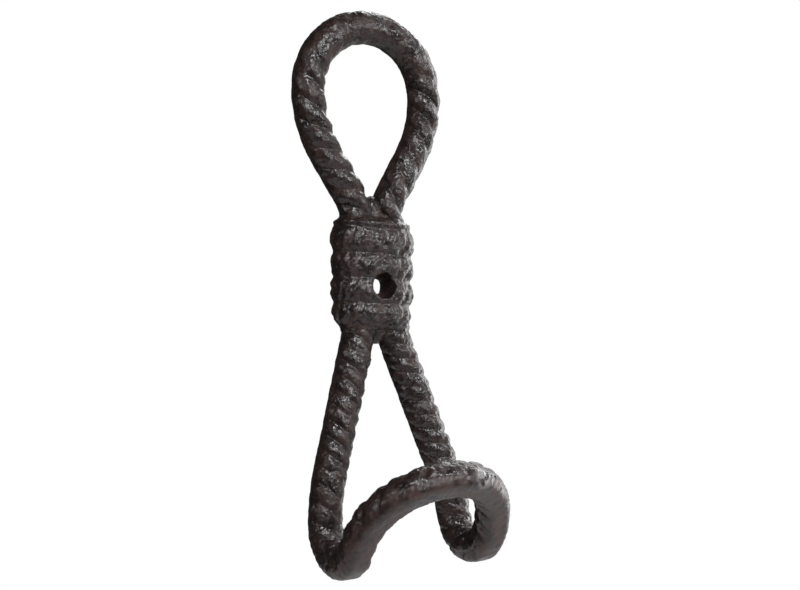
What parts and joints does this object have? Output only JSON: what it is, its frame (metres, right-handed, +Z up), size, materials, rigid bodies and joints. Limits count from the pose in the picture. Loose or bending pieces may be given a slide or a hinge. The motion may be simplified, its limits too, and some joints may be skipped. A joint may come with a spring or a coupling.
{
  "type": "rope-knot wall hook",
  "caption": "Cast-iron wall hook shaped as a knotted rope: a round loop on top, a screwed knot, and two legs that turn forward and up into a closed hook.",
  "frame": {"origin": "on the wall plane, at the middle of the flat back of the knot's top turn, 18.4 mm above the screw hole's axis", "axes": "+Z up along the wall, through the middle of the loop; +Y into the wall, so the hook reaches out along -Y; +X to the right of someone who faces the wall"},
  "size_m": [0.0664, 0.0624, 0.2055],
  "materials": {
    "rope_paint": "semi-gloss dark brown paint on rough sand-cast iron, strands worn brighter",
    "knot_paint": "semi-gloss dark brown paint on rough sand-cast iron",
    "hook_paint": "semi-gloss dark brown paint, smooth on the outer face of the hook"
  },
  "bodies": {
    "root": {"loop_neck_left": "rope_paint", "loop_side_left": "rope_paint", "loop_crown": "rope_paint", "loop_side_right": "rope_paint", "loop_neck_right": "rope_paint", "knot_turn_top": "knot_paint", "knot_turn_upper": "knot_paint", "knot_turn_lower": "knot_paint", "knot_turn_bottom": "knot_paint", "leg_left": "rope_paint", "leg_right": "rope_paint", "foot_bend_left": "hook_paint", "foot_bend_right": "hook_paint", "hook_limb_left": "hook_paint", "hook_limb_right": "hook_paint", "hook_crest": "hook_paint"}
  },
  "joints": []
}
